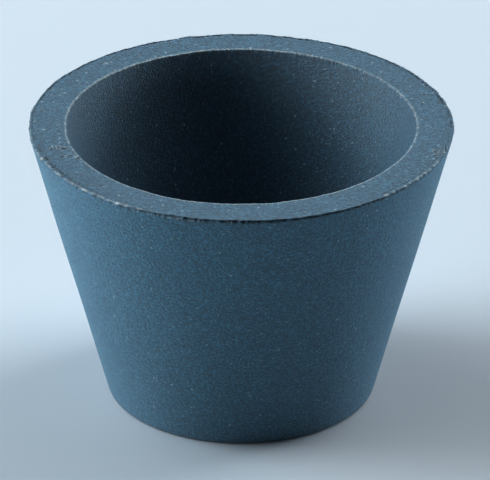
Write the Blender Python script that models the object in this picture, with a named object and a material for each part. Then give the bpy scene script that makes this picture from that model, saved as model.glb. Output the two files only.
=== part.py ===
"""Rubber filter cone: a thick-walled open cone that seals a filter funnel into the neck of a
vacuum filter flask. It is one moulded piece of rubber. Metres, +Z up along the cone's axis, with
the origin at the centre of the narrow end's rim, on which the cone stands."""

import math

import bmesh
import bpy

# Driving dimensions, in metres.
TOP_OUTER_DIAMETER = 0.0330
BOTTOM_OUTER_DIAMETER = 0.0210
HEIGHT = 0.0225
RADIAL_WALL = 0.00294  # measured across the flat rim
OUTER_BOTTOM_FILLET = 0.00035  # the mould's radius where the narrow end meets the outer wall
INNER_BOTTOM_FILLET = 0.00020
TOP_EDGE_ROUNDING = 0.00010  # both edges of the wide rim are nearly sharp
FILLET_STEPS = 4
STEPS_AROUND = 96  # a multiple of 4, so that the faceted cone is as wide in X as in Y

RUBBER_COLOUR = (0.036, 0.066, 0.094, 1.0)
RUBBER_ROUGHNESS = 0.72


def clear_scene():
    for obj in list(bpy.data.objects):
        bpy.data.objects.remove(obj, do_unlink=True)


def fillet(before, corner, after, radius, steps):
    """The points of an arc of this radius that rounds the corner of a profile in the XZ plane."""
    ax, az = before[0] - corner[0], before[1] - corner[1]
    bx, bz = after[0] - corner[0], after[1] - corner[1]
    la, lb = math.hypot(ax, az), math.hypot(bx, bz)
    ax, az, bx, bz = ax / la, az / la, bx / lb, bz / lb
    half = math.acos(max(-1.0, min(1.0, ax * bx + az * bz))) / 2
    back = radius / math.tan(half)
    mx, mz = ax + bx, az + bz
    ml = math.hypot(mx, mz)
    reach = radius / math.sin(half)
    cx, cz = corner[0] + mx / ml * reach, corner[1] + mz / ml * reach
    start = math.atan2(corner[1] + az * back - cz, corner[0] + ax * back - cx)
    end = math.atan2(corner[1] + bz * back - cz, corner[0] + bx * back - cx)
    turn = (end - start + math.pi) % (2 * math.pi) - math.pi
    return [
        (
            cx + radius * math.cos(start + turn * i / steps),
            cz + radius * math.sin(start + turn * i / steps),
        )
        for i in range(steps + 1)
    ]


def cone_profile():
    """The wall's closed section at +X, running down its outer side and up the bore."""
    top, bottom = TOP_OUTER_DIAMETER / 2, BOTTOM_OUTER_DIAMETER / 2
    corners = [
        ((top, HEIGHT), TOP_EDGE_ROUNDING),
        ((bottom, 0.0), OUTER_BOTTOM_FILLET),
        ((bottom - RADIAL_WALL, 0.0), INNER_BOTTOM_FILLET),
        ((top - RADIAL_WALL, HEIGHT), TOP_EDGE_ROUNDING),
    ]
    points = []
    for i, (corner, radius) in enumerate(corners):
        before = corners[i - 1][0]
        after = corners[(i + 1) % len(corners)][0]
        points += fillet(before, corner, after, radius, FILLET_STEPS)
    return points


def rubber():
    material = bpy.data.materials.new("rubber")
    material.use_nodes = True
    shader = material.node_tree.nodes["Principled BSDF"]
    shader.inputs["Base Color"].default_value = RUBBER_COLOUR
    shader.inputs["Roughness"].default_value = RUBBER_ROUGHNESS
    shader.inputs["Metallic"].default_value = 0.0
    material.diffuse_color = RUBBER_COLOUR
    return material


def turned(name, profile, material):
    """A closed profile turned about Z by a Screw modifier."""
    mesh = bpy.data.meshes.new(name)
    bm = bmesh.new()
    verts = [bm.verts.new((x, 0.0, z)) for x, z in profile]
    for a, b in zip(verts, verts[1:] + verts[:1]):
        bm.edges.new((a, b))
    bm.to_mesh(mesh)
    bm.free()
    obj = bpy.data.objects.new(name, mesh)
    bpy.context.scene.collection.objects.link(obj)
    obj.data.materials.append(material)
    screw = obj.modifiers.new("Turn", "SCREW")
    screw.axis = "Z"
    screw.angle = 2 * math.pi
    screw.steps = STEPS_AROUND
    screw.render_steps = STEPS_AROUND
    screw.use_merge_vertices = True
    screw.merge_threshold = 0.00001
    screw.use_smooth_shade = True
    return obj


def main():
    clear_scene()
    turned("rubber_cone", cone_profile(), rubber())


main()
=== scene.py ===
"""The looks of the rubber filter cone. One closed piece of mesh stands for the CAD solid: the
moulded walls, the trimmed rim with its ragged flash, its pits and its tear are all geometry, and
one procedural rubber covers them."""

import math

import bmesh
import bpy
import numpy as np
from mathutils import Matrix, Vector


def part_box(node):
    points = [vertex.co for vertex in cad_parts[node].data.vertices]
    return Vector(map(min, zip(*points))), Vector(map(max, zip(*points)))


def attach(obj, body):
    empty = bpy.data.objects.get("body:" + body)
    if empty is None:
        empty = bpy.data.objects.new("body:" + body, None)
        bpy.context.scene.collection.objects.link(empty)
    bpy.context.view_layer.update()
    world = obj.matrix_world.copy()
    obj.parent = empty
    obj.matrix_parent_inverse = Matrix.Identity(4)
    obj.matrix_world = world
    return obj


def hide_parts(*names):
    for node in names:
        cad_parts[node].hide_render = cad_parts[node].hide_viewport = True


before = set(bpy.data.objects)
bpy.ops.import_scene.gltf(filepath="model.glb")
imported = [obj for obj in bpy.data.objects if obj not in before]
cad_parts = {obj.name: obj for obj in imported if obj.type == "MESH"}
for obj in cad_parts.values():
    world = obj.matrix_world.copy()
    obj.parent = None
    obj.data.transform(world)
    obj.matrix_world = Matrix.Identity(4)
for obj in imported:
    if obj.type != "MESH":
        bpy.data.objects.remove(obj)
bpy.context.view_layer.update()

MM = 0.001
LOW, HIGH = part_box("rubber_cone")
HEIGHT = HIGH.z / MM
cad = np.array([v.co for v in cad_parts["rubber_cone"].data.vertices]) / MM
cad_r, cad_z = np.hypot(cad[:, 0], cad[:, 1]), cad[:, 2]
# The sharp corners that the CAD solid's small roundings cut off, found from its straight walls.
SLOPE = 6.0 / 22.5
wall_high = cad_z > HEIGHT - 0.2
R_TOP = float((cad_r + SLOPE * (HEIGHT - cad_z))[cad_r > cad_r.max() - 0.05].max())
R_BORE = float(
    (cad_r + SLOPE * (HEIGHT - cad_z))[wall_high & (cad_r < R_TOP - 2.0)].min()
)
R_BOTTOM = R_TOP - SLOPE * HEIGHT
R_BORE_BOTTOM = R_BORE - SLOPE * HEIGHT

AROUND = 1440  # segments round the rim and both its edges
COARSE = AROUND // 4  # segments round the plain walls and the underside


def ring_noise(theta, seed, low, high, slope=0.0):
    """Noise that closes on itself round the cone, with low to high waves in a turn, and a spread of 1."""
    rng = np.random.default_rng(seed)
    waves = np.arange(low, high + 1)
    size = rng.normal(size=len(waves)) * waves.astype(float) ** -slope
    phase = rng.uniform(0, 2 * math.pi, len(waves))
    found = (
        size[:, None] * np.cos(waves[:, None] * theta[None, :] + phase[:, None])
    ).sum(0)
    return found / math.sqrt((size**2).sum() / 2)


def wall_noise(theta, along, seed, waves, most_per_mm, count=60):
    """The same over a wall: theta goes round and along is in millimetres."""
    rng = np.random.default_rng(seed)
    k = rng.integers(-waves, waves + 1, count)
    m = rng.uniform(-most_per_mm, most_per_mm, count) * 2 * math.pi
    phase = rng.uniform(0, 2 * math.pi, count)
    total = np.zeros(np.broadcast(theta, along).shape)
    for a, b, c in zip(k, m, phase):
        total += np.cos(a * theta + b * along + c)
    return total / math.sqrt(count / 2)


def bump_at(theta, centre, width):
    """1 at an angle, in degrees, falling to 0 over a width, also in degrees."""
    away = (np.degrees(theta) - centre + 180) % 360 - 180
    return np.exp(-((away / width) ** 2))


def between(theta, start, end, soft=4.0):
    """1 from one angle to another, in degrees and anticlockwise, with soft ends."""
    middle, half = (start + end) / 2, (end - start) / 2
    away = np.abs((np.degrees(theta) - middle + 180) % 360 - 180)
    return 1 / (1 + np.exp((away - half) / soft * 2))


# ---------------------------------------------------------------- the rim and its two edges
theta = np.arange(AROUND) * 2 * math.pi / AROUND


def stops(*pairs):
    """A value that changes evenly round the cone, through stops of degrees and value."""
    angles, amounts = zip(*pairs)
    return np.interp(np.degrees(theta), angles, amounts, period=360)


def ragged(seed, low, middle, high, slow=0.25, fast=0.40):
    """About 1 on average and never under 0: slow waves with fast ones on them, in uneven bursts."""
    bursts = np.clip(1 + 0.6 * ring_noise(theta, seed + 90, low, middle), 0.15, 2.2)
    quick = ring_noise(theta, seed + 50, middle // 2, high, 0.35)
    return np.clip(
        1 + slow * ring_noise(theta, seed, low, middle) + fast * bursts * quick, 0, 2.4
    )


# Burrs: short thicker lengths of flash, as degrees, half-width in degrees, and size.
burrs = [
    (-171.0, 0.6, 0.5),
    (-158.6, 0.9, 1.0),
    (-153.2, 0.5, 0.4),
    (-149.0, 0.6, 0.5),
    (-141.5, 0.5, 0.5),
    (-136.8, 1.0, 0.7),
    (-133.3, 0.7, 0.6),
    (-127.6, 0.7, 0.6),
    (-124.5, 0.9, 1.0),
    (-121.9, 0.6, 0.7),
    (-118.1, 0.6, 0.5),
    (-114.2, 0.35, 0.30),
    (-110.7, 0.30, 0.22),
    (-55.0, 0.5, 0.4),
    (-47.8, 0.8, 1.0),
    (-45.2, 0.6, 0.9),
    (-43.3, 0.4, 0.5),
    (-40.6, 0.7, 0.9),
    (-38.4, 0.5, 0.6),
    (-35.4, 0.8, 1.0),
    (-33.0, 0.4, 0.6),
    (-31.2, 0.7, 0.9),
    (-28.4, 0.5, 0.7),
    (-26.0, 0.7, 0.8),
    (-23.6, 0.5, 0.6),
    (139.0, 1.3, 0.4),
    (41.6, 0.7, 0.7),
    (14.1, 0.7, 0.5),
    (68.0, 0.6, 0.4),
    (104.5, 0.7, 0.4),
    (172.5, 0.6, 0.4),
]
burr = np.zeros(AROUND)
for centre, width, size in burrs:
    burr = np.maximum(burr, size * bump_at(theta, centre, width))

# Millimetres by which the corner is rubbed back, and how far the flash stands out past it.
inset = stops(
    (-180, 0.05),
    (-124, 0.06),
    (-115, 0.20),
    (-101, 0.20),
    (-84, 0.13),
    (-66, 0.06),
    (-20, 0.03),
    (20, 0.06),
    (150, 0.07),
)
inset = inset * ragged(11, 6, 40, 260, 0.12, 0.14)
# The outline wanders a little, most at the back and the left.
wander = stops((-180, 0.026), (-150, 0.018), (-30, 0.016), (0, 0.030), (90, 0.040), (150, 0.034))
inset += 0.75 * wander * ring_noise(theta, 13, 16, 70)
inset += 0.35 * wander * ring_noise(theta, 27, 80, 360)
inset = np.maximum(inset, -0.02)
lip = stops(
    (-180, 0.15), (-168, 0.35), (-160, 0.70), (-122, 0.70), (-114, 0.05), (-66, 0.10), (-50, 0.55),
    (-20, 0.60),
    (-8, 0.20), (150, 0.15),
)
lip *= stops((-70, 1.0), (-56, 0.35), (-24, 0.35), (-14, 1.0))
lip = lip * ragged(12, 20, 90, 420, 0.40, 0.60) + 3.6 * burr
# Short lengths where it has torn away, most of them at the back and the left.
torn = np.clip(ring_noise(theta, 14, 25, 130) - 1.35, 0, 1)
torn *= stops((-180, 1.0), (-165, 0.8), (-150, 0.2), (-20, 0.2), (0, 0.7), (90, 0.8), (150, 1.2))
# How high its crest stands, and how pale it is: pale wear with a painted highlight, brightest at the left
# front.
crest = stops(
    (-180, 0.5), (-160, 0.9), (-120, 0.8), (-112, 0.1), (-68, 0.1), (-52, 0.6), (-20, 0.6),
    (0, 0.3), (150, 0.3),
)
crest = crest * ragged(15, 12, 90, 440, 0.35, 0.70) + 3.0 * burr
pale = stops(
    (-180, 0.42), (-166, 0.45), (-159, 0.95), (-143, 0.85), (-120, 0.70), (-115, 0.12),
    (-80, 0.20), (-66, 0.30), (-56, 0.26), (-44, 0.22), (-22, 0.30), (-12, 0.22), (150, 0.10),
)
pale = np.clip(0.95 * pale * ragged(16, 24, 110, 460, 0.60, 1.05) - 0.10 + 0.9 * burr, 0, 1)
# Painted glints: the burrs and a few points between them are painted bright as highlights.
glint = np.clip(ring_noise(theta, 28, 60, 330) - 1.55, 0, 1)
glint *= stops((-180, 0.5), (-160, 1.2), (-118, 1.0), (-100, 0.4), (-60, 0.4), (-50, 0.5), (-20, 0.4),
               (0, 0.2), (150, 0.2))
glint += np.clip(burr - 0.35, 0, 1) * stops((-140, 0.9), (-115, 1.1), (-55, 0.95), (-20, 0.70), (0, 0.3))
glint = np.clip(glint, 0, 1)
# The fine crack that runs just inside the flash: its place, and how deep it is.
crack_at = stops(
    (-180, 0.30), (-160, 0.42), (-118, 0.46), (-60, 0.42), (-20, 0.40), (-5, 0.20), (165, 0.20)
)
crack = stops(
    (-180, 0.40), (-162, 0.45), (-157, 1.0), (-143, 0.95), (-136, 0.55), (-121, 0.45),
    (-116, 0.0), (-64, 0.0), (-56, 0.30), (-44, 0.60), (-20, 0.50), (-8, 0.25), (4, 0.75),
    (30, 1.00), (85, 1.00), (100, 0.80), (150, 0.75), (170, 0.70),
)
crack = crack * ragged(17, 14, 80, 380, 0.45, 0.85)
# The undercut below the edge, deepest at the front, with painted shade in it.
under = stops(
    (-180, 0.15), (-140, 0.25), (-120, 0.42), (-106, 0.70), (-96, 0.90), (-80, 1.0), (-58, 1.0),
    (-46, 0.85), (-24, 0.60), (-14, 0.15), (150, 0.15),
)
under = 0.80 * under * np.maximum(ragged(19, 24, 150, 480, 0.36, 0.36), 0.35)
under = np.clip(under - 0.5 * burr, 0, 1.4)
inset = inset + 0.06 * torn
crack_at = np.maximum(crack_at, inset + 0.165)  # the crack keeps clear of the flash
crest = crest * (1 - np.clip(torn, 0, 1))
# A nick where the right-hand tear reaches the edge.
nick = bump_at(theta, -15.6, 1.0) + 0.7 * bump_at(theta, -20.6, 0.7)
lip -= 0.9 * nick
crest -= 0.8 * nick
pale *= 1 - 0.7 * np.clip(nick, 0, 1)

# The edge of the bore is rubbed round and pale all the way, pale wear with a painted highlight made
# stronger at the front, with a few burrs at the back.
bore_lip = 0.5 * ragged(21, 8, 50, 380, 0.25, 0.35)
bore_lip += 0.7 * between(theta, 52, 128, 8) * np.clip(ring_noise(theta, 23, 40, 200) - 0.8, 0, 2)
bore_pale_and_highlight = stops(
    (-180, 0.72), (-150, 0.60), (-125, 0.78), (-95, 0.85), (-68, 0.95), (-50, 0.62), (-25, 0.72),
    (15, 0.78), (40, 0.50), (65, 0.72), (100, 0.92), (140, 0.95),
)
bore_pale_and_highlight = np.clip(bore_pale_and_highlight * ragged(24, 16, 90, 460, 0.22, 0.55), 0, 1)
bore_pale_and_highlight *= stops((-180, 0.95), (-120, 1.0), (-95, 1.15), (-60, 1.15), (-30, 0.95), (150, 0.95))
bore_pale_and_highlight = np.minimum(bore_pale_and_highlight, 1)
# Painted glints on the bore's edge, and a painted highlight along its front and its back.
bore_glint = np.clip(ring_noise(theta, 29, 50, 300) - 1.3, 0, 1) * stops(
    (-180, 0.9), (-140, 0.4), (-60, 0.3), (0, 0.4), (40, 0.7), (120, 0.9)
)
bore_glint += stops(
    (-150, 0.0), (-125, 0.24), (-110, 0.36), (-60, 0.36), (-40, 0.20), (-20, 0.0), (55, 0.0),
    (80, 0.16), (115, 0.22), (150, 0.16), (175, 0.05),
)
bore_glint = np.clip(bore_glint, 0, 1)
# It wanders too, with small teeth where the cutter dragged, most of them at the back.
bore_edge = stops((-180, 0.022), (-130, 0.012), (-40, 0.012), (0, 0.018), (45, 0.034), (150, 0.034))
bore_edge = bore_edge * (
    0.8 * ring_noise(theta, 25, 12, 90) + 0.7 * ring_noise(theta, 26, 110, 300)
)

one = np.ones(AROUND)
tilt = math.degrees(math.atan(SLOPE))


def down_bore(depth):
    return R_BORE - SLOPE * depth, HEIGHT - depth


def down_wall(depth):
    return R_TOP - SLOPE * depth, HEIGHT - depth


def arc(cr, cz, radius, start, end, steps):
    for i in range(steps):
        a = math.radians(start + (end - start) * i / (steps - 1))
        yield cr + radius * math.cos(a), cz + radius * math.sin(a)


# Each row: radius, height, pale worn edge with a painted highlight, painted shade in cracks, hollows and
# at the foot, cut (trimmed face) and a painted glint on a torn point.
rows = []


def add(r, z, dust_and_highlight=0.0, painted_shade=0.0, cut=0.0, glint_highlight=0.0):
    rows.append([one * r, one * z, one * dust_and_highlight, one * painted_shade, one * cut, one * glint_highlight])


add(*down_bore(0.60))
r, z = down_bore(0.36)
add(r, z)
BORE_ROUND = 0.15
cr = R_BORE + BORE_ROUND / math.tan(math.radians((90 + tilt) / 2))
shares = (0.0, 0.12, 0.60, 1.0, 1.0)
for (r, z), share in zip(
    arc(cr, HEIGHT - BORE_ROUND, BORE_ROUND, 180 - tilt, 90, 5), shares
):
    add(
        r - 0.030 * bore_lip * (1 - share / 2) + (0.35 + 0.65 * share) * bore_edge,
        z + 0.012 * bore_lip * share,
        share * bore_pale_and_highlight,
        0,
        share,
        share * bore_glint,
    )
add(cr + 0.035 + bore_edge, HEIGHT + 0.012 * bore_lip, 0.85 * bore_pale_and_highlight, 0, 1)
add(cr + 0.075 + 0.8 * bore_edge, HEIGHT + 0.005 * bore_lip, 0.25 * bore_pale_and_highlight, 0, 1)
add(cr + 0.140 + 0.4 * bore_edge, HEIGHT, 0, 0, 1)
for r in np.linspace(cr + 0.27, R_TOP - 0.70, 15):
    add(r, HEIGHT, 0, 0, 1)
# The crack rows carry painted shade in the crack.
add(R_TOP - crack_at - 0.130, HEIGHT - 0.004 * crack, 0, 0.10 * crack, 1)
add(R_TOP - crack_at - 0.065, HEIGHT - 0.034 * crack, 0, 0.60 * crack, 1)
add(R_TOP - crack_at, HEIGHT - 0.055 * crack, 0, 0.85 * crack, 1)
add(R_TOP - crack_at + 0.055, HEIGHT - 0.018 * crack, 0, 0.50 * crack, 1)
corner = R_TOP - inset
add(
    0.40 * (R_TOP - crack_at + 0.055) + 0.60 * (corner - 0.085),
    HEIGHT + 0.010 * crest,
    0.10 * pale,
    0,
    1,
)
add(corner - 0.075, HEIGHT + 0.024 * crest, 0.55 * pale, 0, 1, 0.3 * glint)
# From here the rows carry painted shade where the flash is torn and in the undercut below the edge.
add(corner - 0.035, HEIGHT + 0.028 * crest, 1.00 * pale, 0.2 * torn, 1, glint)
add(
    corner + 0.012 * lip,
    HEIGHT + 0.012 * crest - 0.012,
    0.80 * pale,
    0.6 * torn,
    0.9,
    0.8 * glint,
)
add(
    corner + 0.006 + 0.038 * lip - 0.010 * under,
    HEIGHT - 0.042,
    0.30 * pale,
    0.20 * under + 0.6 * torn,
    0.4,
)
drop = 0.25 * inset
add(
    corner - 0.004 + 0.026 * lip - 0.070 * under,
    HEIGHT - 0.072,
    0.10 * pale,
    0.85 * under + 0.3 * torn,
)
add(
    0.7 * corner + 0.3 * (R_TOP - 0.035) - 0.010 - 0.130 * under,
    HEIGHT - 0.105 - 0.5 * drop,
    0,
    1.0 * under,
)
add(
    0.4 * corner + 0.6 * (R_TOP - 0.040) - 0.008 - 0.110 * under,
    HEIGHT - 0.138 - drop,
    0,
    0.80 * under,
)
r, z = down_wall(0.185 + 1.6 * drop)
add(r - 0.022 * under, z, 0, 0.15 * under)
r, z = down_wall(0.235 + 2.1 * drop)
add(r - 0.004 * under, z)
r, z = down_wall(0.33 + 2.4 * drop)
add(r, z)
for depth in (0.56, 0.78):
    add(*down_wall(depth))
rim_rows = np.array(rows)  # rows, values, around

# ---------------------------------------------------------------- the plain walls
coarse_theta = theta[::4]
one = np.ones(COARSE)
rows = []
FILLET_OUT, FILLET_IN = 0.34, 0.20


for depth in np.linspace(1.45, HEIGHT - 0.60, 30):
    add(*down_wall(depth))
half = math.radians((90 + tilt) / 2)
cr = R_BOTTOM - FILLET_OUT / math.tan(half)
# The bottom edge is painted with shade where it stands on the floor.
foot_shade = (0.30, 0.65, 0.90, 1.0, 1.0, 0.60)
for (r, z), share in zip(arc(cr, FILLET_OUT, FILLET_OUT, -tilt, -90, 6), foot_shade):
    add(r, z, 0, share)
half = math.radians((90 - tilt) / 2)
inner_cr = R_BORE_BOTTOM + FILLET_IN / math.tan(half)
for r in np.linspace(cr - 0.25, inner_cr + 0.20, 8):
    add(r, 0.0, 0, 0, 1)
for r, z in arc(inner_cr, FILLET_IN, FILLET_IN, -90, -180 - tilt, 5):
    add(r, z, 0.15)
for depth in np.linspace(HEIGHT - 0.60, 1.25, 28):
    add(*down_bore(depth))
wall_rows = np.array(rows)


# ---------------------------------------------------------------- one closed mesh
def build():
    points, values, faces = [], [], []
    grids = []  # index of the first vertex and count, for each ring in order

    def ring(row, angles):
        start = sum(len(p) for p in points)
        r, z = row[0], row[1]
        points.append(np.stack([r * np.cos(angles), r * np.sin(angles), z], 1))
        values.append(row[2:].T)
        grids.append((start, len(angles)))

    for row in rim_rows:
        ring(row, theta)
    half_theta = theta[::2]
    one_half = np.ones(AROUND // 2)
    r, z = down_wall(1.05)
    ring(np.array([one_half * v for v in (r, z, 0, 0, 0, 0)]), half_theta)
    for row in wall_rows:
        ring(row, coarse_theta)
    r, z = down_bore(0.88)
    ring(np.array([one_half * v for v in (r, z, 0, 0, 0, 0)]), half_theta)
    for (a, n), (b, m) in zip(grids, grids[1:] + grids[:1]):
        if n == m:
            for i in range(n):
                j = (i + 1) % n
                faces.append((a + i, b + i, b + j, a + j))
        elif n == 2 * m:
            for i in range(m):
                j = (i + 1) % m
                a0, a1, a2 = a + 2 * i, a + 2 * i + 1, a + (2 * i + 2) % n
                faces += [(a0, b + i, a1), (a1, b + i, b + j), (a1, b + j, a2)]
        else:
            for i in range(n):
                j = (i + 1) % n
                b0, b1, b2 = b + 2 * i, b + 2 * i + 1, b + (2 * i + 2) % m
                faces += [(a + i, b0, b1), (a + i, b1, a + j), (a + j, b1, b2)]
    return np.concatenate(points), np.concatenate(values), faces


points, values, faces = build()
mesh = bpy.data.meshes.new("rubber_filter_cone")
mesh.from_pydata(points.tolist(), [], faces)
for i, name in enumerate(("dust_and_highlight", "painted_shade", "cut", "glint_highlight")):
    layer = mesh.attributes.new(name, "FLOAT", "POINT")
    layer.data.foreach_set("value", values[:, i].astype(np.float32))


def on_rim(angle, share):
    """A point of the rim's plane, from degrees and a share of the outer radius."""
    a = math.radians(angle)
    return np.array([share * R_TOP * math.cos(a), share * R_TOP * math.sin(a)])


# Pits: angle, share of the outer radius, radius and depth in millimetres.
PITS = [
    (-163.4, 0.923, 0.13, 0.07),
    (-163.9, 0.905, 0.08, 0.05),
    (-163.6, 0.883, 0.18, 0.08),
    (-162.7, 0.864, 0.18, 0.08),
    (-160.6, 0.892, 0.09, 0.05),
    (-157.6, 0.901, 0.15, 0.07),
    (-157.5, 0.856, 0.13, 0.06),
    (-155.0, 0.836, 0.12, 0.06),
    (-17.6, 0.948, 0.11, 0.05),
    (-20.0, 0.966, 0.12, 0.05),
    (14.6, 0.885, 0.10, 0.07),
    (20.5, 0.930, 0.09, 0.06),
    (-8.0, 0.905, 0.08, 0.05),
    (-100.5, 0.885, 0.07, 0.04),
    (122.0, 0.915, 0.09, 0.06),
    (171.0, 0.955, 0.09, 0.06),
    (150.0, 0.880, 0.08, 0.05),
]
# Small raised chips: angle, share, radius and height. They are pale on top, pale wear with a painted
# highlight and a painted glint.
CHIPS = [
    (-155.8, 0.843, 0.15, 0.070),
    (-165.1, 0.893, 0.10, 0.045),
    (-164.0, 0.860, 0.09, 0.045),
    (-161.5, 0.880, 0.09, 0.035),
    (-176.4, 0.928, 0.13, 0.070),
    (134.4, 0.922, 0.16, 0.070),
    (132.6, 0.915, 0.10, 0.050),
    (158.2, 0.898, 0.12, 0.060),
    (-16.8, 0.932, 0.09, 0.045),
    (-14.6, 0.959, 0.10, 0.050),
    (-19.7, 0.951, 0.08, 0.045),
    (-17.8, 0.965, 0.07, 0.040),
    (-0.8, 0.872, 0.09, 0.050),
    (27.0, 0.905, 0.08, 0.045),
    (-3.5, 0.952, 0.08, 0.045),
    (148.0, 0.962, 0.08, 0.040),
    (-170.5, 0.862, 0.07, 0.035),
    (104.0, 0.900, 0.08, 0.040),
    (62.0, 0.935, 0.08, 0.040),
    (-146.0, 0.905, 0.07, 0.035),
    (9.0, 0.915, 0.08, 0.040),
    (-28.0, 0.900, 0.07, 0.035),
]
# Cracks of the tear: start and end (angle, share), half-width and depth in millimetres.
CRACKS = [
    ((-17.4, 0.946), (-19.9, 0.978), 0.075, 0.055),
    ((-16.2, 0.966), (-17.9, 0.982), 0.065, 0.045),
    ((-14.0, 0.984), (-16.8, 0.996), 0.070, 0.06),
]
spots = [on_rim(a, s) for a, s, _, _ in PITS + CHIPS]
for start, end, _, _ in CRACKS:
    a, b = on_rim(*start), on_rim(*end)
    spots += [a, (a + b) / 2, b]

bm = bmesh.new()
bm.from_mesh(mesh)
bm.faces.ensure_lookup_table()
centres = np.array([f.calc_center_median() for f in bm.faces])
near = np.zeros(len(centres), bool)
for spot in spots:
    near |= np.hypot(centres[:, 0] - spot[0], centres[:, 1] - spot[1]) < 0.24
near &= (centres[:, 2] > HEIGHT - 0.02) & (
    np.hypot(centres[:, 0], centres[:, 1]) > R_BORE + 0.2
)
edges = {e for i in np.flatnonzero(near) for e in bm.faces[i].edges}
bmesh.ops.subdivide_edges(bm, edges=list(edges), cuts=2, use_grid_fill=True)
bmesh.ops.triangulate(bm, faces=[f for f in bm.faces if len(f.verts) > 4])
bmesh.ops.recalc_face_normals(bm, faces=bm.faces)
bm.to_mesh(mesh)
bm.free()

count = len(mesh.vertices)
co = np.empty(count * 3, np.float32)
mesh.vertices.foreach_get("co", co)
co = co.reshape(-1, 3).astype(float)
layers = {}
for name in ("dust_and_highlight", "painted_shade", "cut", "glint_highlight"):
    found = np.empty(count, np.float32)
    mesh.attributes[name].data.foreach_get("value", found)
    layers[name] = found.astype(float)

radius, angle, height = np.hypot(co[:, 0], co[:, 1]), np.arctan2(co[:, 1], co[:, 0]), co[:, 2]
top_face = (layers["cut"] > 0.5) & (height > HEIGHT / 2)
# The trimmed rim isn't quite flat: slow waves, and the small pocks that the cut left.
ripple = 0.010 * wall_noise(angle, radius, 31, 30, 0.35) + 0.0022 * wall_noise(
    angle, radius, 32, 230, 2.6, 120
)
co[:, 2] += np.where(top_face, ripple, 0.0)
# Each pit is a hollow with painted shade in it and a raised rim painted pale, most on its back side: pale
# wear with a painted highlight.
for a, s, size, depth in PITS:
    spot = on_rim(a, s)
    x, y = co[:, 0] - spot[0], co[:, 1] - spot[1]
    turn = np.arctan2(y, x)
    away = np.hypot(x, y) / size
    away *= 1 + 0.22 * np.cos(2 * turn + 7 * a) + 0.16 * np.cos(3 * turn + 11 * a)
    hollow = np.exp(-(away**2.2))
    edge = np.exp(-(((away - 1.55) / 0.40) ** 2))
    edge *= np.clip(0.45 + 0.75 * np.cos(turn - math.pi / 2 + 0.8 * math.sin(9 * a)), 0, 1)
    co[:, 2] -= np.where(top_face, depth * hollow - 0.045 * edge, 0.0)
    layers["painted_shade"] = np.maximum(layers["painted_shade"], np.where(top_face, 0.52 * hollow, 0))
    layers["dust_and_highlight"] = np.maximum(layers["dust_and_highlight"], np.where(top_face, 0.90 * edge, 0))
for a, s, size, rise in CHIPS:
    spot = on_rim(a, s)
    away = np.hypot(co[:, 0] - spot[0], co[:, 1] - spot[1]) / size
    lump = np.exp(-(away**2.2))
    co[:, 2] += np.where(top_face, rise * lump, 0.0)
    layers["dust_and_highlight"] = np.maximum(layers["dust_and_highlight"], np.where(top_face, 0.6 * lump, 0))
    layers["glint_highlight"] = np.maximum(layers["glint_highlight"], np.where(top_face, 8 * rise * lump**1.5, 0))
# The tear's cracks carry painted shade in their hollows and a pale rim beside them, pale wear with a
# painted highlight.
for start, end, width, depth in CRACKS:
    p, q = on_rim(*start), on_rim(*end)
    line = q - p
    share = np.clip(
        ((co[:, 0] - p[0]) * line[0] + (co[:, 1] - p[1]) * line[1]) / (line @ line), 0, 1
    )
    away = (
        np.hypot(co[:, 0] - p[0] - share * line[0], co[:, 1] - p[1] - share * line[1])
        / width
    )
    hollow = np.exp(-(away**2.4))
    edge = np.exp(-(((away - 1.6) / 0.50) ** 2))
    co[:, 2] -= np.where(top_face, depth * hollow - 0.030 * edge, 0.0)
    layers["painted_shade"] = np.maximum(layers["painted_shade"], np.where(top_face, 0.42 * hollow, 0))
    layers["dust_and_highlight"] = np.maximum(layers["dust_and_highlight"], np.where(top_face, 0.80 * edge, 0))
# The walls are a moulding's: a little out of round, with slow hollows and swells.
swell = (
    0.030 * np.cos(2 * angle + 0.9)
    + 0.018 * np.cos(3 * angle - 0.4)
    + 0.012 * wall_noise(angle, height, 33, 9, 0.10)
)
swell *= np.clip(height / 0.8, 0, 1)
co[:, 0] += swell * np.cos(angle)
co[:, 1] += swell * np.sin(angle)
mesh.vertices.foreach_set("co", (co * MM).astype(np.float32).ravel())
for name, found in layers.items():
    mesh.attributes[name].data.foreach_set(
        "value", np.clip(found, 0, 1).astype(np.float32)
    )
inside = np.clip((R_BORE + 0.1 - SLOPE * (HEIGHT - height) - radius) / 0.1, 0, 1)
mesh.attributes.new("inside", "FLOAT", "POINT").data.foreach_set(
    "value", inside.astype(np.float32)
)
mesh.update()
mesh.shade_smooth()
cone = bpy.data.objects.new("rubber_filter_cone", mesh)
bpy.context.scene.collection.objects.link(cone)


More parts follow.
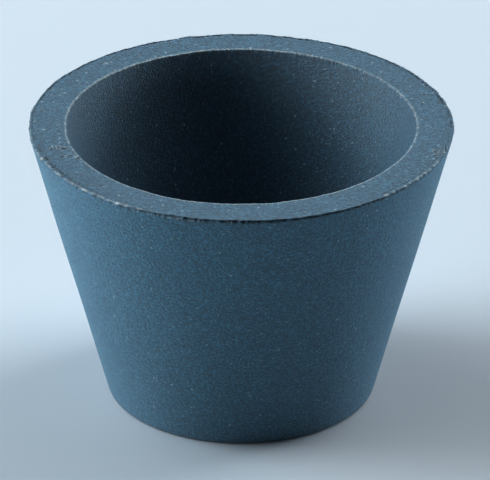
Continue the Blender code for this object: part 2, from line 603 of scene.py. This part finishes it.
# ---------------------------------------------------------------- the rubber
def rubber():
    material = bpy.data.materials.new("filter_cone_rubber")
    material.use_nodes = True
    tree = material.node_tree
    nodes, links = tree.nodes, tree.links
    shader = nodes["Principled BSDF"]

    def make(kind, **settings):
        node = nodes.new(kind)
        for key, value in settings.items():
            setattr(node, key, value)
        return node

    def value(node, name, number):
        node.inputs[name].default_value = number

    def maths(operation, a, b=None, clamp=False):
        node = make("ShaderNodeMath", operation=operation, use_clamp=clamp)
        for i, item in enumerate((a, b)):
            if item is None:
                continue
            if isinstance(item, (int, float)):
                node.inputs[i].default_value = item
            else:
                links.new(item, node.inputs[i])
        return node.outputs[0]

    def ramp(source, low, high, out_low=0.0, out_high=1.0):
        node = make("ShaderNodeMapRange", clamp=True)
        links.new(source, node.inputs["Value"])
        for name, number in (
            ("From Min", low),
            ("From Max", high),
            ("To Min", out_low),
            ("To Max", out_high),
        ):
            value(node, name, number)
        return node.outputs["Result"]

    def noise(scale, detail, roughness=0.5, output="Fac"):
        node = make("ShaderNodeTexNoise")
        links.new(where, node.inputs["Vector"])
        value(node, "Scale", scale)
        value(node, "Detail", detail)
        value(node, "Roughness", roughness)
        return node.outputs[output]

    def mix(factor, a, b, blend="MIX"):
        node = make("ShaderNodeMix", data_type="RGBA", blend_type=blend)
        if isinstance(factor, (int, float)):
            node.inputs[0].default_value = factor
        else:
            links.new(factor, node.inputs[0])
        for i, item in ((6, a), (7, b)):
            if isinstance(item, tuple):
                node.inputs[i].default_value = item
            else:
                links.new(item, node.inputs[i])
        return node.outputs[2]

    def grey(source):
        node = make("ShaderNodeCombineColor")
        for i in range(3):
            links.new(source, node.inputs[i])
        return node.outputs[0]

    def mask(name):
        return make("ShaderNodeAttribute", attribute_name=name).outputs["Fac"]

    where = make("ShaderNodeTexCoord").outputs["Object"]
    dust_and_highlight, painted_shade, cut, glint_highlight, inside = (
        mask(n) for n in ("dust_and_highlight", "painted_shade", "cut", "glint_highlight", "inside")
    )

    # Colour: two tones of blue-grey in slow clouds, then the fine grain of filled rubber.
    clouds = ramp(noise(420, 3, 0.55), 0.32, 0.68)
    skin = mix(clouds, (0.0080, 0.091, 0.150, 1), (0.0105, 0.101, 0.160, 1))
    # The trimmed rim is greyer than the moulded skin.
    face = mix(clouds, (0.0030, 0.065, 0.121, 1), (0.0060, 0.075, 0.132, 1))
    # Painted shade: the outer wall is a little darker toward the foot.
    axes = make("ShaderNodeSeparateXYZ")
    links.new(where, axes.inputs[0])
    outer = mix(1.0, skin, grey(ramp(axes.outputs[2], 0.002, 0.020, 0.85, 1.07)), "MULTIPLY")
    # Painted shade: inside the bore the skin is darkened, most in green.
    colour = mix(inside, outer, mix(1.0, skin, (0.85, 0.74, 0.82, 1), "MULTIPLY"))
    colour = mix(cut, colour, face)
    tint = ramp(noise(2600, 2, 0.6), 0.35, 0.65)
    tones = mix(tint, (0.90, 1.02, 0.98, 1), (1.10, 0.98, 1.02, 1))
    colour = mix(1.0, colour, tones, "MULTIPLY")

    def grained(colour, fac, low, high, lift):
        """Dark grains are the colour times low, and pale ones times high, plus a pale tint."""
        shaded = mix(1.0, colour, grey(ramp(fac, 0.37, 0.63, low, high)), "MULTIPLY")
        pale = mix(1.0, grey(ramp(fac, 0.53, 0.68, 0.0, lift)), (0.80, 1.0, 1.04, 1), "MULTIPLY")
        return mix(1.0, shaded, pale, "ADD")

    colour = grained(colour, noise(5000, 2, 0.6), 0.50, 1.32, 0.026)
    # The cut has opened the rubber's filler: more and stronger pale and dark points.
    opened = grained(colour, noise(4600, 3, 0.75), 0.40, 1.58, 0.052)
    colour = mix(cut, colour, opened)

    # Specks of talc: sparse small pale points, a few of them larger.
    def specks(scale, size, keep):
        cells = make("ShaderNodeTexVoronoi", feature="F1", voronoi_dimensions="3D")
        links.new(where, cells.inputs["Vector"])
        value(cells, "Scale", scale)
        split = make("ShaderNodeSeparateColor")
        links.new(cells.outputs["Color"], split.inputs[0])
        near = ramp(cells.outputs["Distance"], size * 0.45, size, 1.0, 0.0)
        chosen = maths("GREATER_THAN", split.outputs[0], 1 - keep)
        return maths("MULTIPLY", near, chosen)

    talc = maths(
        "MAXIMUM", specks(1350, 0.150, 0.20), maths("MULTIPLY", specks(3100, 0.25, 0.22), 0.6)
    )
    colour = mix(maths("MULTIPLY", talc, 0.75), colour, (0.34, 0.44, 0.50, 1))
    # The cut has more of them, and small dark pores too.
    points = maths("MULTIPLY", specks(1250, 0.165, 0.55), maths("MULTIPLY", cut, 0.85))
    colour = mix(points, colour, (0.36, 0.46, 0.51, 1))
    pores = maths("MULTIPLY", specks(1450, 0.230, 0.50), maths("MULTIPLY", cut, 0.75))
    colour = mix(pores, colour, (0.002, 0.014, 0.024, 1))
    # Worn edges carry pale dust in broken patches, with a painted highlight on them.
    broken = ramp(noise(4800, 3, 0.6), 0.36, 0.60, 0.25, 1.0)
    pale_wear_and_highlight = maths("MULTIPLY", dust_and_highlight, broken)
    colour = mix(pale_wear_and_highlight, colour, (0.370, 0.420, 0.450, 1))
    # Painted glints on torn points, burrs and chip tops.
    colour = mix(maths("MULTIPLY", glint_highlight, 0.9), colour, (0.70, 0.78, 0.80, 1))
    # Painted shade: cracks are dark, and so are the pits, the undercut, torn lengths and the foot.
    shade_factor = grey(ramp(painted_shade, 0.0, 1.0, 1.0, 0.28))
    colour = mix(1.0, colour, shade_factor, "MULTIPLY")
    links.new(colour, shader.inputs["Base Color"])

    rough = ramp(noise(3800, 3, 0.6), 0.3, 0.7, 0.54, 0.66)
    rough = maths("ADD", rough, maths("MULTIPLY", cut, 0.04))
    links.new(rough, shader.inputs["Roughness"])

    # Relief: the mould's fine matt grain, with a rougher drag on the trimmed rim.
    fine = noise(6400, 3, 0.60)
    drag = noise(7400, 3, 0.7)
    relief = maths(
        "ADD",
        maths("MULTIPLY", fine, 0.75),
        maths("MULTIPLY", drag, maths("ADD", maths("MULTIPLY", cut, 0.80), 0.45)),
    )
    relief = maths("ADD", relief, maths("MULTIPLY", talc, 0.35))
    bump = make("ShaderNodeBump")
    value(bump, "Strength", 1.0)
    value(bump, "Distance", 0.00013)
    links.new(relief, bump.inputs["Height"])
    links.new(bump.outputs["Normal"], shader.inputs["Normal"])

    value(shader, "Metallic", 0.0)
    value(shader, "Specular IOR Level", 1.0)
    value(shader, "Sheen Weight", 0.5)
    value(shader, "Sheen Roughness", 0.5)
    value(shader, "Sheen Tint", (0.46, 0.74, 1.0, 1.0))
    return material


cone.data.materials.append(rubber())
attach(cone, "root")
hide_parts("rubber_cone")


# ---------------------------------------------------------------- floor, lights and camera
def pale_floor():
    size = 2.5
    floor_mesh = bpy.data.meshes.new("floor")
    floor_mesh.from_pydata(
        [(-size, -size, 0), (size, -size, 0), (size, size, 0), (-size, size, 0)],
        [],
        [(0, 1, 2, 3)],
    )
    material = bpy.data.materials.new("pale_floor")
    material.use_nodes = True
    shader = material.node_tree.nodes["Principled BSDF"]
    shader.inputs["Base Color"].default_value = (0.49, 0.56, 0.63, 1)
    shader.inputs["Roughness"].default_value = 0.9
    shader.inputs["Specular IOR Level"].default_value = 0.0
    floor_mesh.materials.append(material)
    floor = bpy.data.objects.new("floor", floor_mesh)
    bpy.context.scene.collection.objects.link(floor)
    return floor


pale_floor()

TARGET = Vector((0, 0, 0.012))


def soft_light(
    name, azimuth, elevation, size, watts, distance=0.9, tall=None, colour=(1.0, 1.0, 1.0)
):
    """A square or oblong soft light. Azimuth 0 is the front, -Y, and 90 is the right, +X."""
    light = bpy.data.lights.new(name, "AREA")
    light.shape = "RECTANGLE"
    light.size = size
    light.size_y = tall or size
    light.energy = watts
    light.color = colour
    a, e = math.radians(azimuth), math.radians(elevation)
    toward = Vector(
        (math.sin(a) * math.cos(e), -math.cos(a) * math.cos(e), math.sin(e))
    )
    lamp = bpy.data.objects.new(name, light)
    lamp.location = TARGET + toward * distance
    lamp.rotation_euler = (-toward).to_track_quat("-Z", "Y").to_euler()
    bpy.context.scene.collection.objects.link(lamp)
    return lamp


soft_light("left_low", -80, 12, 0.30, 2.95, colour=(1.0, 0.95, 0.93))
soft_light("left_low_back", -100, 12, 0.30, 2.70, colour=(1.0, 0.86, 0.80))
soft_light("left_low_front", -60, 12, 0.30, 0.85)
soft_light("left_high", -98, 32, 0.50, 6.15, colour=(0.90, 1.0, 1.0))
soft_light("left_top", -120, 54, 0.50, 2.85)
soft_light("right_low", 120, 12, 0.30, 3.40, colour=(0.93, 1.0, 1.03))
soft_light("right_low_side", 100, 12, 0.30, 1.20, colour=(0.93, 1.0, 1.03))
soft_light("right_back", 120, 32, 0.50, 1.55)
soft_light("right_top", 122, 54, 0.50, 3.70, colour=(1.0, 0.94, 0.88))
soft_light("back_top", 180, 74, 0.50, 0.80)
soft_light("front_fill", 0, 3.5, 0.30, 0.55, tall=0.08)

world = bpy.data.worlds.new("studio")
bpy.context.scene.world = world
world.use_nodes = True
world.node_tree.nodes["Background"].inputs[0].default_value = (0.75, 0.86, 1.0, 1)
world.node_tree.nodes["Background"].inputs[1].default_value = 0.015

tip = math.radians(27.25)
away = 29.0 * R_TOP * MM
up = Vector((0, math.sin(tip), math.cos(tip)))
forward = Vector((0, math.cos(tip), -math.sin(tip)))
camera_data = bpy.data.cameras.new("camera")
camera_data.sensor_width = 36.0
camera_data.lens = 6040.0 * 36.0 / 490.0
camera_data.clip_start = 0.01
camera_data.clip_end = 20.0
camera = bpy.data.objects.new("camera", camera_data)
camera.location = (
    -forward * away + Vector((0.0191 * R_TOP * MM, 0, 0)) + up * (0.670 * R_TOP * MM)
)
camera.rotation_euler = forward.to_track_quat("-Z", "Y").to_euler()
bpy.context.scene.collection.objects.link(camera)
bpy.context.scene.camera = camera

view = bpy.context.scene.view_settings
view.view_transform = "Standard"
view.gamma = 1 / 1.3
